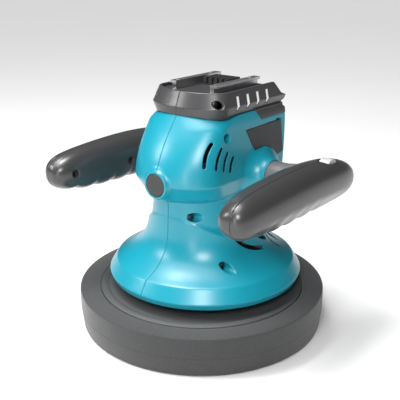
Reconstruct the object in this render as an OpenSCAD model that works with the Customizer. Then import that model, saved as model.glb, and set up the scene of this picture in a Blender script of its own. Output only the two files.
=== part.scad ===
// Cordless dual action polisher with two side handles and a slide-on battery mount.
// +Z is up along the motor's axis, the front is -Y, and Z = 0 is the pad's working face.

/* [Pad] */
// Diameter of the foam pad
pad_d = 261; // [230:1:320]
// Thickness of the whole foam pad
pad_h = 40.5; // [34:0.5:50]
// Thickness of the softer, lower foam layer
foam_low_h = 20; // [12:0.5:26]
// Diameter of the backing plate
plate_d = 217; // [170:1:222]
// Thickness of the backing plate
plate_t = 3.5; // [2.5:0.1:5]
// Thickness of the hook and loop layer
loop_t = 1.5; // [1:0.1:2]
// Distance from the motor's axis to the pad's axis
orbit = 6; // [3:0.5:8]

/* [Base] */
// Diameter of the base skirt at its widest
skirt_d = 204.6; // [180:1:230]
// Height of the base skirt's lower lip above the floor
skirt_z = 52; // [48:0.5:58]
// Radius where the bell runs into the neck
bell_neck_r = 57.5; // [54:0.5:64]
// Thickness of the housing's walls
wall = 3; // [2.4:0.1:4]

/* [Body] */
// Widest width of the upper body
body_w = 102.4; // [94:0.2:122]
// Reach of the upper body in front of the axis
body_front = 76.3; // [72:0.1:84]
// Reach of the upper body behind the axis, at its widest
body_back = 70.5; // [64:0.1:80]
// Lean of the flat sides
side_lean = 4.9; // [3:0.1:6]
// Height of the crease where the body is widest
crease_z = 164.5; // [160:0.5:170]
// Height of the joint between the body and the battery collar
body_top_z = 226.5; // [222:0.5:236]
// Diameter of the round cap on the nose
nose_cap_d = 23; // [18:0.5:26]

/* [Collar] */
// Height of the collar's rim above the floor
rim_z = 250; // [246:0.5:262]
// Distance between the outer sides of the battery rails
rail_span = 58; // [50:0.5:62]
// Length of the battery rails
rail_len = 74; // [60:1:80]

/* [Handles] */
// Distance between the centre lines of the two handles
grip_span = 220; // [212:1:250]
// Length of a handle
grip_len = 214; // [196:1:260]
// Greatest width of a handle
grip_w = 42; // [38:0.5:46]
// Greatest height of a handle
grip_h = 49; // [44:0.5:56]
// Height of the handles' centre line
grip_z = 161.5; // [158:0.5:165]
// Pitch of the finger lobes
lobe_pitch = 24.5; // [20:0.5:28]
// Depth of the grooves between the finger lobes
lobe_depth = 2; // [0.5:0.1:3]
// Outer diameter of a handle's neck
neck_d = 32; // [28:0.5:35]
// How far behind the axis the handles' necks sit
neck_y = 26; // [20:0.5:30]

/* [Switch] */
// Length of the switch recess
recess_len = 31; // [28:0.5:36]
// Width of the switch recess
recess_w = 17; // [15:0.5:20]
// Distance of the switch behind the axis
switch_y = 51; // [46:1:60]
// Width of the rocker
rocker_w = 11; // [9:0.5:12]
// Length of the rocker
rocker_len = 20; // [16:0.5:22]

/* [Drive] */
// Outer diameter of the motor can
motor_d = 60; // [50:1:64]
// Length of the motor can
motor_len = 70; // [60:1:74]
// Diameter of the motor's shaft
shaft_d = 10; // [9:0.1:10.5]
// Diameter of the cooling fan
fan_d = 86; // [70:1:92]
// Number of fan blades
fan_blades = 16; // [10:1:22]
// Outer diameter of a ball bearing
bearing_d = 26; // [24:0.5:28]
// Width of a ball bearing
bearing_w = 8; // [6:0.5:9]
// Radius of the counterweight
weight_r = 46; // [38:1:52]

/* [Fasteners] */
// Diameter of a housing screw's shank
screw_d = 3.6; // [3:0.1:4]
// Diameter of a housing screw's head
screw_head_d = 6.8; // [6:0.1:7.2]

/* [Hidden] */

$fn = 96;
slit = 0.02;
big = 400;
teal = [0.16, 0.72, 0.80];
dark = [0.26, 0.26, 0.27];

// Heights of the rotating parts, from the floor up
plate_z = pad_h - 2;
plate_top = plate_z + plate_t;
spindle_flange_h = 4;
hub_z = skirt_z - 1;
pad_bearing_z = hub_z + 2;
pad_bearing_top = pad_bearing_z + 2 * bearing_w;
hub_web_z = pad_bearing_top + 2;
hub_top = hub_web_z + 9;
weight_z = hub_z + 6;
weight_h = 9;
bracket_z = 102;
bracket_h = 6;
fan_h = 9;
fan_z = bracket_z - fan_h - 4.5;
can_z = bracket_z + bracket_h;
can_top = can_z + motor_len;
cap_h = 17;
top_bearing_z = can_top + cap_h - bearing_w;
shaft_top = can_top + cap_h - 1;
board_z = 200;
bracket_r = 50;

// Radii of a ball bearing's parts
bearing_ring = 2;
ball_pitch_r = (shaft_d + bearing_d) / 4;
ball_r = (bearing_d - shaft_d) / 4 - bearing_ring - 0.1;

// Plan of the upper body at a height: [half width, nose depth, front reach, back reach]
function rise(z) = (body_top_z - z) / (body_top_z - crease_z);
function top_front() = body_front - 30;
function body_plan(z) = let (t = rise(z)) [
    body_w / 2 - (z - crease_z) * tan(side_lean),
    26 + 12 * t + 10 * max(0, 1 - t / 0.1),
    top_front() + (body_front - top_front()) * sin(90 * t),
    body_back + 8.5 * sin(90 * (1 - t))];
low_plan = [body_w / 2 - 5.2, 37, body_front - 9.5, body_back - 8];
low_z = crease_z - 14.5;
neck_plan = [body_w / 2 - 8.7, 46, bell_neck_r + 2, body_back - 15];
neck_foot = [bell_neck_r - 3, 54, bell_neck_r + 2, body_back - 13];
neck_top_z = low_z - 5;
neck_low_z = 104;

// Outline in plan: an elliptical nose, flat sides and rounded rear corners
function plan_half(p, corner) = concat(
    [for (i = [0:9]) let (a = 10 * i) [p[0] * sin(a), -(p[2] - p[1]) - p[1] * cos(a)]],
    [for (i = [0:2]) let (a = 45 * i)
        [p[0] - corner + corner * cos(a), p[3] - corner + corner * sin(a)]]);
function mirrored(h) = concat(h, [for (i = [len(h) - 1:-1:1]) [-h[i][0], h[i][1]]]);
function inset(p, by) = [p[0] - by, max(6, p[1] - by), p[2] - by, p[3] - by];

module slice(z, p, corner)
    translate([0, 0, z]) linear_extrude(slit) polygon(mirrored(plan_half(p, corner)));

// A closed solid through rings of points, from the lowest ring to the highest
module loft(rings) {
    n = len(rings[0]);
    top = (len(rings) - 1) * n;
    polyhedron(points = [for (ring = rings) each ring], faces = concat(
        [[for (i = [0:n - 1]) i]],
        [for (low = [0:n:top - n], i = [0:n - 1]) let (j = (i + 1) % n)
            each [[low + i, low + n + i, low + n + j], [low + i, low + n + j, low + j]]],
        [[for (i = [n - 1:-1:0]) top + i]]));
}

// The body's rings, from the foot of its neck to the collar
body_zs = [for (t = [1, 0.86, 0.72, 0.58, 0.45, 0.33, 0.22, 0.13, 0.06, 0])
    body_top_z - t * (body_top_z - crease_z)];
module body_form(by) {
    corner = 4 - min(3, by);
    function ring(z, plan) = [for (p = mirrored(plan_half(inset(plan, by), corner))) [p[0], p[1], z]];
    loft(concat(
        [ring(neck_low_z, neck_foot), ring(neck_top_z, neck_plan), ring(low_z + by / 2, low_plan)],
        [for (z = body_zs) ring(z, body_plan(z))],
        by > 0 ? [ring(body_top_z + 5, body_plan(body_top_z))] : []));
}

// Radius of the flared bell at a height above the skirt's crease
bell_z = skirt_z + 19.5;
bell_r = skirt_d / 2 - 8.6;
function flare(z) = bell_neck_r + (bell_r - bell_neck_r) * exp(-(z - bell_z) / 14.3);
bell_zs = [for (k = [0:8]) bell_z + 62 * pow(k / 8, 1.4)];

module bell_form(by, low)
    rotate_extrude($fn = by > 0 ? 48 : 80) polygon(concat([[0, skirt_z - low], [skirt_d / 2 - 1.9 - by, skirt_z - low],
        [skirt_d / 2 - by, skirt_z + 5.9], [bell_r - by, bell_z - by / 2]],
        [for (z = bell_zs) if (z > bell_z + 0.5) [flare(z) - by, z - by / 2]], [[0, last_bell_z() - by / 2]]));
function last_bell_z() = bell_zs[len(bell_zs) - 1];

// Sloping shoulders that cut the bell's top on both sides of the neck
roof_z = 125.5;
module roof(by)
    translate([0, big / 2, 0]) rotate([90, 0, 0]) linear_extrude(big)
        polygon([[-130, 0], [-130, roof_z - 52 - by], [-28, roof_z - 3.5 - by], [-10, roof_z - by],
            [10, roof_z - by], [28, roof_z - 3.5 - by], [130, roof_z - 52 - by], [130, 0]]);

// Flared boss on each side that carries a handle's neck
boss_x = body_w / 2 + 15;
module along_x(x, y, z) translate([x, y, z]) rotate([0, 90, 0]) children();
module side_boss()
    along_x(40, neck_y + 4, grip_z - 1) rotate_extrude($fn = 48) polygon([[0, 0], [36, 0],
        for (i = [0:5]) let (s = i / 5) [neck_d / 2 + 1.4 + 15.5 * pow(1 - s, 1.7), 8 + (boss_x - 49) * s],
        [0, boss_x - 41]]);
module neck_hole(r)
    along_x(20, neck_y, grip_z) cylinder(r = r, h = big, $fn = 48);
module boss_tip()
    along_x(40, neck_y, grip_z) cylinder(r = neck_d / 2 + 1.4, h = boss_x - 40, $fn = 48);

// Round boss on the nose that takes the cap
nose_z = 164.8;
nose_y = -body_front - 2;
nose_ring = 2;
module along_y(x, y, z) translate([x, y, z]) rotate([-90, 0, 0]) children();
module nose_boss()
    along_y(0, nose_y, nose_z) rotate_extrude($fn = 48) polygon([[0, 0], [nose_cap_d / 2 + nose_ring, 0],
        [nose_cap_d / 2 + nose_ring + 1.5, 4], [nose_cap_d / 2 + 10, 22], [0, 22]]);

// Screws that join the two housing halves, as [y, z, x of the head's seat]
housing_points = [[-27, 208, 38], [62, 208, 38], [-50, 130, 20], [44, 130, 20],
    [-42, 83, 52], [60, 83, 34]];
boss_r = screw_d / 2 + 2.8;
module housing_bosses()
    for (p = housing_points) along_x(-60, p[0], p[1]) cylinder(r = boss_r, h = 120, $fn = 16);
module housing_bores() for (p = housing_points) {
    along_x(-p[2] + 4, p[0], p[1]) cylinder(d = screw_d + 0.4, h = big, $fn = 14);
    along_x(p[2], p[0], p[1]) cylinder(d = screw_head_d + 1.2, h = big, $fn = 24);
}
module bore_walls() for (p = housing_points)
    along_x(p[2] - 4, p[0], p[1]) cylinder(d = screw_head_d + 5, h = 60, $fn = 20);

// Cooling slots: four on each side of the nose, and three on each side of the bell, whose ends are [radius, angle]
nose_slot_w = 3.4;
module nose_slots() for (i = [0:3])
    translate([25, -57 + 10.4 * i, 184 - 3 * i]) rotate([-28 + i, 0, 0])
        hull() for (z = [1.2, 25.2 - 3.5 * i])
            translate([0, 0, z]) rotate([0, 90, 0]) cylinder(d = nose_slot_w, h = 45, $fn = 8);
bell_slot_ends = [[[60, 67], [67.5, 98.5]], [[60, 90], [65, 112]], [[65, 120], [79, 125]]];
module bell_slots() for (ends = bell_slot_ends)
    hull() for (end = ends)
        translate([end[0] * sin(end[1]), -end[0] * cos(end[1]), bell_z + 5])
            cylinder(d = 3.4, h = 40, $fn = 8);
module both_sides() {
    children();
    mirror([1, 0, 0]) children();
}

module bracket_shelf() difference() {
    translate([0, 0, bracket_z - 3]) cylinder(r = bell_neck_r + 6, h = bracket_h + 6, $fn = 48);
    translate([0, 0, bracket_z - 5]) cylinder(r = bracket_r - 4, h = bracket_h + 10, $fn = 48);
    translate([0, 0, bracket_z]) cylinder(r = bracket_r + 0.3, h = bracket_h, $fn = 48);
}

module housing_outer() {
    body_form(0);
    intersection() {
        bell_form(0, 0);
        roof(0);
    }
    both_sides() side_boss();
    both_sides() boss_tip();
    nose_boss();
}
module housing_inner() {
    body_form(wall);
    intersection() {
        bell_form(wall, 1);
        roof(wall);
    }
}
module housing() difference() {
    intersection() {
        housing_outer();
        union() {
            difference() {
                translate([-big / 2, -big / 2, 0]) cube(big);
                housing_inner();
            }
            housing_bosses();
            bore_walls();
            mirror([1, 0, 0]) bore_walls();
            bracket_shelf();
            both_sides() along_x(neck_in, neck_y, grip_z) cylinder(r = flange_r, h = 14, $fn = 40);
        }
    }
    housing_bores();
    both_sides() neck_hole(neck_d / 2 + 0.15);
    both_sides() nose_slots();
    both_sides() bell_slots();
    both_sides() label_form(0);
    along_y(0, nose_y - 1, nose_z) cylinder(d = nose_cap_d + 0.2, h = 4, $fn = 48);
    along_y(0, nose_y - 1, nose_z) cylinder(d = 9, h = 20, $fn = 24);
    collar_skirt_cut();
    motor_space();
}
module motor_space() translate([0, 0, can_z - 3]) cylinder(d = motor_d + 6, h = 80, $fn = 48);
module half(side) intersection() {
    children();
    translate([side > 0 ? 0 : -big, -big / 2, 0]) cube(big);
}
module housing_right() color(teal) half(1) housing();
module housing_left() color(teal) half(-1) housing();

// Label plates let into the flat sides, shaped around the handles' bosses
label_points = [[4, 210.5], [68, 211], [69.5, 177], [58, 175], [47, 184], [35, 188.5], [17, 187.5]];
label_depth = 1.2;
module label_form(by) {
    foot = 170;
    x = body_w / 2 - (foot - crease_z) * tan(side_lean);
    translate([x, 0, foot]) rotate([0, -side_lean, 0]) rotate([90, 0, 90])
        translate([0, -foot, -label_depth + by / 2]) linear_extrude(label_depth + 3 * (1 - by))
            offset(delta = -0.15 * by) polygon(label_points);
}
module label_plate(side) color(dark) mirror([side > 0 ? 0 : 1, 0, 0]) intersection() {
    label_form(1);
    translate([0, 0, 100]) cube(big);
}
module label_plate_right() label_plate(1);
module label_plate_left() label_plate(-1);

module nose_cap() color(dark) along_y(0, nose_y, nose_z) {
    cylinder(d = nose_cap_d, h = 3);
    cylinder(d = 8.6, h = 9);
}

// The collar around the battery's seat
belt_z = body_top_z + 9;
function collar_plan(z) = z < belt_z
    ? let (s = (z - body_top_z) / (belt_z - body_top_z)) [
        body_plan(body_top_z)[0] - 3.4 + 3.4 * s, 32 - 9 * s, top_front() - 0.3 * s, body_back + 8.5 + 2 * s]
    : let (s = (z - belt_z) / (rim_z - belt_z)) [
        body_plan(body_top_z)[0] - 3 * s, 23 + 2 * s, top_front() - 0.3 - 6.4 * s, body_back + 10.5];
collar_zs = [body_top_z, belt_z, belt_z + 5, rim_z - 1, rim_z - slit];
module collar_form(by) for (i = [0:len(collar_zs) - 2]) hull() {
    slice(collar_zs[i], inset(collar_plan(collar_zs[i]), by), 4);
    slice(collar_zs[i + 1], inset(collar_plan(collar_zs[i + 1]), by), 4);
}
back_y = body_back + 10.5;
tab_z = body_top_z - 10;
module side_prism(x, w, points)
    translate([x, 0, 0]) rotate([90, 0, 90]) linear_extrude(w) polygon(points);
module collar_skirt(gap)
    side_prism(-60, 120, [[23 - gap, body_top_z + 1], [32 - gap, tab_z - gap], [back_y + 5, tab_z - gap],
        [back_y + 5, body_top_z + 1]]);
module collar_skirt_cut() difference() {
    collar_skirt(0.1);
    cube([2 * (body_w / 2 - 12), 2 * (back_y - 9), 600], center = true);
}
module collar_slope() side_prism(-big / 2, big, [[body_back - 11.8, rim_z + 1], [body_back - 0.5, rim_z - 12],
    [body_back + 8, rim_z - 15], [body_back + 10.6, rim_z - 20], [body_back + 30, rim_z - 20],
    [body_back + 30, rim_z + 1]]);
collar_points = [[-31, 239.5], [77, 226]];
collar_slots = [for (k = [0:3]) -8.5 + 16.7 * k];
groove_depth = 2.6;
groove_run = 5;
groove_h = 13.5;
platform_z = rim_z - 7;
module collar() difference() {
    union() {
        difference() {
            collar_form(0);
            intersection() {
                collar_form(wall);
                translate([-big / 2, -big / 2, body_top_z + 3]) cube([big, big / 2 + back_y - 10, big]);
            }
            translate([0, 8, body_top_z - 5]) cube([38, 80, 40], center = true);
        }
        for (p = platform_points) translate([p[0], p[1], body_top_z + 1])
            cylinder(r = 4.2, h = seat_z - body_top_z - 1, $fn = 24);
        intersection() {
            translate([0, 0, -10]) tab_form();
            collar_skirt(0);
            difference() {
                translate([-big / 2, -big / 2, 0]) cube([big, big, body_top_z]);
                cube([2 * (body_w / 2 - 11.7), 2 * (back_y - 8.7), 600], center = true);
            }
        }
    }
    collar_slope();
    for (p = platform_points) translate([p[0], p[1], seat_z - 5]) cylinder(d = screw_d + 0.4, h = 20, $fn = 14);
    for (p = collar_points) {
        along_x(-big / 2, p[0], p[1]) cylinder(d = screw_d + 0.3, h = big, $fn = 24);
        both_sides() along_x(34, p[0], p[1]) cylinder(d = screw_head_d + 1, h = 30, $fn = 32);
    }
    both_sides() for (y = collar_slots) translate([body_plan(body_top_z)[0], y, belt_z - 4])
        linear_extrude(groove_h) polygon([[-groove_depth, 0], [4, 0], [4, groove_run + 4 * groove_run / groove_depth]]);
}
module tab_form() hull() {
    slice(body_top_z, body_plan(body_top_z - 10), 4);
    slice(body_top_z + 10, body_plan(body_top_z), 4);
}
module collar_right() color(dark) half(1) collar();
module collar_left() color(dark) half(-1) collar();

// Pale strips let into the collar's grooves
strip_t = 0.8;
module collar_strips() color("white") both_sides() intersection() {
    collar_form(0.3);
    for (y = collar_slots) translate([body_plan(body_top_z)[0] - groove_depth, y, belt_z - 4]) translate([0.05, 0.05, 0.05])
        linear_extrude(groove_h - 0.1) polygon([[0, 0], [strip_t, 0], [strip_t + groove_depth, groove_run], [groove_depth, groove_run]]);
}

// The battery's seat: a plate, two undercut rails and the terminal block
seat_z = rim_z - 7;
seat_h = 4;
seat_plan = inset(collar_plan(seat_z + seat_h), wall + 0.15);
seat_back = body_back - 14;
rail_y = 26 - top_front();
rail_h = 8;
module battery_platform() color(dark) difference() {
    intersection() {
        translate([0, 0, seat_z]) linear_extrude(seat_h) polygon(mirrored(plan_half(seat_plan, 4)));
        translate([-big / 2, seat_back - big, 0]) cube(big);
    }
    for (p = platform_points) translate([p[0], p[1], seat_z - 1]) cylinder(d = screw_d + 0.3, h = 10);
    translate([-12, 20, seat_z - 1]) cube([24, 12, 10]);
}
platform_screw_y = [-16, 38];
platform_points = [for (x = [-1, 1], y = platform_screw_y) [x * (rail_span / 2 - 5), y]];
module battery_rails() color("silver") both_sides() difference() {
    translate([rail_span / 2, rail_y, seat_z + seat_h]) rotate([-90, 0, 0]) linear_extrude(rail_len)
        polygon([[-8, 0], [-3, 0], [-3, -rail_h + 2.5], [0, -rail_h + 2.5], [0, -rail_h], [-8, -rail_h]]);
    for (y = platform_screw_y) {
        translate([rail_span / 2 - 5, y, seat_z]) cylinder(d = screw_d + 0.3, h = 20);
        translate([rail_span / 2 - 5, y, seat_z + seat_h + rail_h - 2.5]) cylinder(d = 5.8, h = 20);
    }
}
module screw(head_d, head_h, d, length) {
    difference() {
        cylinder(d = head_d, h = head_h);
        translate([0, 0, head_h - 1.2]) cylinder(d = head_d * 0.45, h = 2, $fn = 6);
    }
    translate([0, 0, -length]) cylinder(d = d, h = length + 0.5);
}
module platform_screws() color("silver") for (p = platform_points)
    translate([p[0], p[1], seat_z + seat_h + rail_h - 2.5]) screw(5.4, 2.2, screw_d, rail_h + seat_h - 1);
block_y = 16;
module terminal_block() color([0.85, 0.6, 0.1]) difference() {
    translate([-15, block_y, seat_z + seat_h]) cube([30, 22, 8]);
    for (x = blade_x) translate([x - 1.4, block_y - 1, seat_z + seat_h + 1.5]) cube([2.8, 19, 8]);
}
blade_x = [-10, -3.3, 3.3, 10];
module battery_terminals() color("gold") for (x = blade_x)
    translate([x - 0.5, block_y + 2, seat_z + seat_h + 1.5]) cube([1, 16, 5.5]);

module housing_screws() color("silver") for (p = housing_points)
    along_x(p[2], p[0], p[1]) screw(screw_head_d, 2.6, screw_d, 2 * p[2] - 8);
module collar_screws() color("silver") for (p = collar_points) both_sides()
    along_x(34, p[0], p[1]) screw(screw_head_d, 2.6, screw_d, 22);

// Handles: a tapering bar with finger lobes underneath, split lengthwise into a shell and a cover
grip_x = grip_span / 2;
grip_y = -6.5;
split_x = grip_x + 4;
grip_wall = 2.6;
function along(y) = (y - grip_y) / (grip_len / 2);
function blunt(t) = pow(max(0, 1 - pow(abs(t), 8)), 1 / 2.6);
function half_h(y) = grip_h / 2 * (1 - 0.27 * pow(along(y), 2)) * blunt(along(y));
function half_w(y) = grip_w / 2 * (1 - 0.18 * pow(along(y), 2)) * blunt(along(y));
function mid_z(y) = grip_z - 7 * pow(max(0, along(y)), 2);
lobe_y = -100;
lobe_count = 5;
function lobe(y) = (y < lobe_y || y > lobe_y + lobe_count * lobe_pitch) ? 0
    : lobe_depth * (1 - abs(cos(180 * (y - lobe_y) / lobe_pitch)));
function grip_point(y, a, by) = [
    (half_w(y) - by) * sign(cos(a)) * pow(abs(cos(a)), 0.86),
    mid_z(y) + (sin(a) > 0 ? half_h(y) - by : half_h(y) - by - lobe(y)) * sign(sin(a)) * pow(abs(sin(a)), 0.92)];
module grip_slice(y, by) translate([grip_x, y + slit, 0]) rotate([90, 0, 0]) linear_extrude(slit)
    polygon([for (k = [0:19]) grip_point(y, 18 * k + 9, by)]);
module grip_chain(ys, by) for (i = [0:len(ys) - 2]) hull() {
    grip_slice(ys[i], by);
    grip_slice(ys[i + 1], by);
}
grip_ends = [-0.999, -0.985, -0.95, -0.9];
grip_ys = concat([for (t = grip_ends) grip_y + t * grip_len / 2],
    [for (k = [0:3 * lobe_count - 1]) lobe_y + (k + 0.5) * lobe_pitch / 3],
    [for (k = [0:3]) lobe_y + (lobe_count + k * 0.9) * lobe_pitch],
    [for (t = [0.84, 0.9, 0.95, 0.985, 0.999]) grip_y + t * grip_len / 2]);
hollow_ys = [for (t = [-0.93, -0.8, -0.58, -0.2, 0.2, 0.58, 0.8, 0.93]) grip_y + t * grip_len / 2];
module grip_body() grip_chain(grip_ys, 0);
module grip_hollow() grip_chain(hollow_ys, grip_wall + lobe_depth / 2);

// Handle screws, as [y, z], driven from the inner side into posts in the shell
grip_points = [[-94, grip_z + 1], [-18, grip_z - 1], [76, grip_z - 4]];
grip_seat_x = grip_x - 10;
module grip_posts() for (p = grip_points) along_x(grip_x - 30, p[0], p[1])
    cylinder(r = 5, h = 60, $fn = 20);
module grip_bores() for (p = grip_points) {
    along_x(grip_seat_x - 2, p[0], p[1]) cylinder(d = screw_d + 0.4, h = 20.5, $fn = 14);
    along_x(grip_seat_x - 40, p[0], p[1]) cylinder(d = screw_head_d + 1, h = 40, $fn = 20);
}
post_screw_len = 16;

// Switch recess in the top of the right handle
recess_z = mid_z(switch_y) + half_h(switch_y) - 7;
module recess_form(grow) translate([grip_x + 3, switch_y, recess_z - 9]) linear_extrude(40)
    scale([(recess_w + 2 * grow) / recess_len, 1]) circle(d = recess_len + 2 * grow, $fn = 40);

module grip(side) difference() {
    intersection() {
        grip_body();
        union() {
            difference() {
                translate([0, -big / 2, 0]) cube(big);
                grip_hollow();
            }
            grip_posts();
        }
    }
    grip_bores();
    along_x(grip_x - 60, neck_y, grip_z) cylinder(r = neck_d / 2 + 0.3, h = 56, $fn = 40);
    if (side > 0) recess_form(0.1);
}
module grip_shell(side) color(dark) mirror([side > 0 ? 0 : 1, 0, 0]) intersection() {
    grip(side);
    translate([split_x, -big / 2, 0]) cube(big);
}
module grip_cover(side) color(dark) mirror([side > 0 ? 0 : 1, 0, 0]) intersection() {
    grip(side);
    translate([split_x - big, -big / 2, 0]) cube(big);
}
module right_grip_shell() grip_shell(1);
module right_grip_cover() grip_cover(1);
module left_grip_shell() grip_shell(-1);
module left_grip_cover() grip_cover(-1);
module grip_screws() color("silver") both_sides() for (p = grip_points)
    along_x(grip_seat_x, p[0], p[1]) rotate([0, 180, 0]) screw(screw_head_d, 2.6, screw_d, post_screw_len);

// Necks: hollow tubes with a flange inside the body and a flare against the handle
neck_in = body_w / 2 - wall - 9;
flange_t = 3;
flange_r = neck_d / 2 + 6;
neck_out = grip_x - 10;
module neck() color(dark) along_x(0, neck_y, grip_z) rotate_extrude() polygon([
    [neck_d / 2 - 3.5, neck_in - flange_t], [flange_r, neck_in - flange_t], [flange_r, neck_in], [neck_d / 2, neck_in], [neck_d / 2, neck_out],
    [neck_d / 2 - 3.5, neck_out]]);
module neck_screws() color("silver") both_sides() for (a = [90, 210, 330])
    along_x(neck_in - flange_t, neck_y, grip_z) rotate([0, 0, a]) translate([neck_d / 2 + 3, 0, -1.6])
        cylinder(d = 4.6, h = 1.6);
module right_neck() neck();
module left_neck() mirror([1, 0, 0]) neck();

// Rocker switch: a bezel in the recess, the rocker on its trunnions and the switch body below
pivot_z = recess_z + 1;
module switch_bezel() color([0.1, 0.1, 0.1]) difference() {
    intersection() {
        recess_form(-0.15);
        translate([0, 0, recess_z - 6]) cube([big, big, 9]);
    }
    translate([grip_x + 3 - rocker_w / 2 - 0.4, switch_y - rocker_len / 2 - 0.5, recess_z - 20])
        cube([rocker_w + 0.8, rocker_len + 1, 40]);
    along_x(grip_x + 3 - rocker_w / 2 - 1.9, switch_y, pivot_z - 3) cylinder(r = 1.06, h = rocker_w + 3.8);
}
module switch_rocker() color([0.8, 0.8, 0.8]) {
    difference() {
        along_x(grip_x + 3 - rocker_w / 2, switch_y, pivot_z - 3)
            cylinder(r = rocker_len / 2, h = rocker_w);
        translate([0, 0, pivot_z - 46]) cube([big, big, 40.5]);
        translate([0, switch_y, 0]) rotate([9, 0, 0]) translate([0, -20, pivot_z + 2.5]) cube([big, 20, 40]);
        translate([0, switch_y, 0]) rotate([-9, 0, 0]) translate([0, 0, pivot_z + 2.5]) cube([big, 20, 40]);
    }
    along_x(grip_x + 3 - rocker_w / 2 - 1.6, switch_y, pivot_z - 3) cylinder(r = 1, h = rocker_w + 3.2);
}
switch_top = recess_z - 7.5;
module switch_body() color([0.12, 0.12, 0.12]) {
    translate([grip_x + 3 - 6.5, switch_y - 12, switch_top - 14]) cube([13, 24, 12]);
    for (y = [-11.5, 9.5]) translate([grip_x - 3, switch_y + y, switch_top - 3]) cube([12, 2, 4.5]);
    for (y = [-6, 6]) translate([grip_x, switch_y + y - 0.5, switch_top - 20]) cube([4, 1, 6.5]);
}
lead_r = 2;
lead_z = grip_z - neck_d / 4;
lead_x = neck_in - flange_t - lead_r - 0.7;
module switch_lead() color([0.1, 0.1, 0.1]) {
    translate([grip_x + 3, neck_y, lead_z]) sphere(r = lead_r, $fn = 32);
    along_x(lead_x, neck_y, lead_z) cylinder(r = lead_r, h = grip_x + 3 - lead_x, $fn = 32);
    along_y(grip_x + 3, neck_y, lead_z) cylinder(r = lead_r, h = switch_y - 12 - neck_y, $fn = 32);
    translate([lead_x, neck_y, lead_z]) sphere(r = lead_r, $fn = 32);
    translate([lead_x, neck_y, lead_z]) cylinder(r = lead_r, h = board_z - lead_z, $fn = 32);
}
board_size = [2 * (body_w / 2 - wall - 7), 66, 1.6];
board_y = -14;
module control_board() color([0.05, 0.35, 0.2]) {
    translate([-board_size[0] / 2, board_y, board_z]) cube(board_size);
    for (k = [0:3]) translate([-28 + 15 * k, board_y + 8, board_z + 1.6]) cube([10, 13, 5]);
    for (k = [0:2]) translate([-20 + 17 * k, board_y + 38, board_z + 1.6]) cylinder(d = 10, h = 14);
}
module board_posts() color(dark) for (x = [-1, 1], y = [-8, 46])
    translate([x * 18, y, can_top + cap_h]) cylinder(d = 5, h = board_z - can_top - cap_h);

// Motor
module motor_can() color("silver") difference() {
    translate([0, 0, can_z]) cylinder(d = motor_d, h = motor_len);
    translate([0, 0, can_z - 1]) cylinder(d = motor_d - 4, h = motor_len + 2);
    for (a = [0:90:270]) rotate([0, 0, a + 45]) along_x(20, 0, can_z + 8) cylinder(d = 7, h = 20);
}
magnet_r = motor_d / 2 - 2;
magnet_t = 5;
module motor_magnets() color([0.3, 0.3, 0.32]) for (side = [0, 180]) rotate([0, 0, side])
    translate([0, 0, can_z + 14]) rotate([0, 0, -65]) rotate_extrude(angle = 130)
        translate([magnet_r - magnet_t, 0]) square([magnet_t, motor_len - 26]);
core_r = magnet_r - magnet_t - 0.6;
core_z = can_z + 16;
core_h = motor_len - 30;
slot_count = 12;
module armature_core() color([0.55, 0.55, 0.58]) difference() {
    translate([0, 0, core_z]) cylinder(r = core_r, h = core_h);
    translate([0, 0, core_z - 1]) cylinder(d = shaft_d, h = core_h + 2);
    for (k = [0:slot_count - 1]) rotate([0, 0, 360 / slot_count * k])
        translate([core_r - 6.5, -1.2, core_z - 1]) cube([10, 2.4, core_h + 2]);
}
module armature_windings() color([0.72, 0.35, 0.15]) for (z = [core_z - 9, core_z + core_h])
    translate([0, 0, z]) rotate_extrude() polygon([[shaft_d / 2 + 2, 0.0], [core_r - 3, 0.0],
        [core_r - 2, 2], [core_r - 2, 7], [core_r - 4, 9], [shaft_d / 2 + 4, 9], [shaft_d / 2 + 2, 7]]);
comm_r = 10;
comm_z = can_top - 4;
comm_h = 12;
module commutator() color([0.75, 0.45, 0.2]) difference() {
    translate([0, 0, comm_z]) cylinder(r = comm_r, h = comm_h);
    translate([0, 0, comm_z - 1]) cylinder(d = shaft_d, h = comm_h + 2);
    for (k = [0:11]) rotate([0, 0, 30 * k]) translate([comm_r - 1, -0.35, comm_z - 1]) cube([3, 0.7, comm_h + 2]);
}
module motor_shaft() color("silver") translate([0, 0, hub_web_z + 1])
    cylinder(d = shaft_d, h = shaft_top - hub_web_z - 1);
module bearing_outer(z) translate([0, 0, z]) difference() {
    cylinder(d = bearing_d, h = bearing_w);
    translate([0, 0, -1]) cylinder(d = bearing_d - 2 * bearing_ring, h = bearing_w + 2);
}
module bearing_inner(z) translate([0, 0, z]) difference() {
    cylinder(d = shaft_d + 2 * bearing_ring, h = bearing_w);
    translate([0, 0, -1]) cylinder(d = shaft_d, h = bearing_w + 2);
}
module bearing_balls(z) translate([0, 0, z + bearing_w / 2]) {
    for (k = [0:8]) rotate([0, 0, 40 * k]) translate([ball_pitch_r, 0, 0]) sphere(r = ball_r, $fn = 20);
    difference() {
        translate([0, 0, -0.8]) cylinder(r = ball_pitch_r + 0.7, h = 1.6);
        translate([0, 0, -2]) cylinder(r = ball_pitch_r - 0.7, h = 4);
    }
}
low_bearing_z = bracket_z - 2;
module motor_bearing_outers() color("silver") {
    bearing_outer(low_bearing_z);
    bearing_outer(top_bearing_z);
}
module motor_bearing_inners() color("silver") {
    bearing_inner(low_bearing_z);
    bearing_inner(top_bearing_z);
}
module motor_bearing_balls() color("silver") {
    bearing_balls(low_bearing_z);
    bearing_balls(top_bearing_z);
}
module bearing_pocket(z, floor_z) {
    translate([0, 0, z]) cylinder(d = bearing_d, h = bearing_w);
    translate([0, 0, floor_z]) cylinder(d = bearing_d - 2 * bearing_ring, h = 40);
}
bracket_screw_r = motor_d / 2 + 5;
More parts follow.
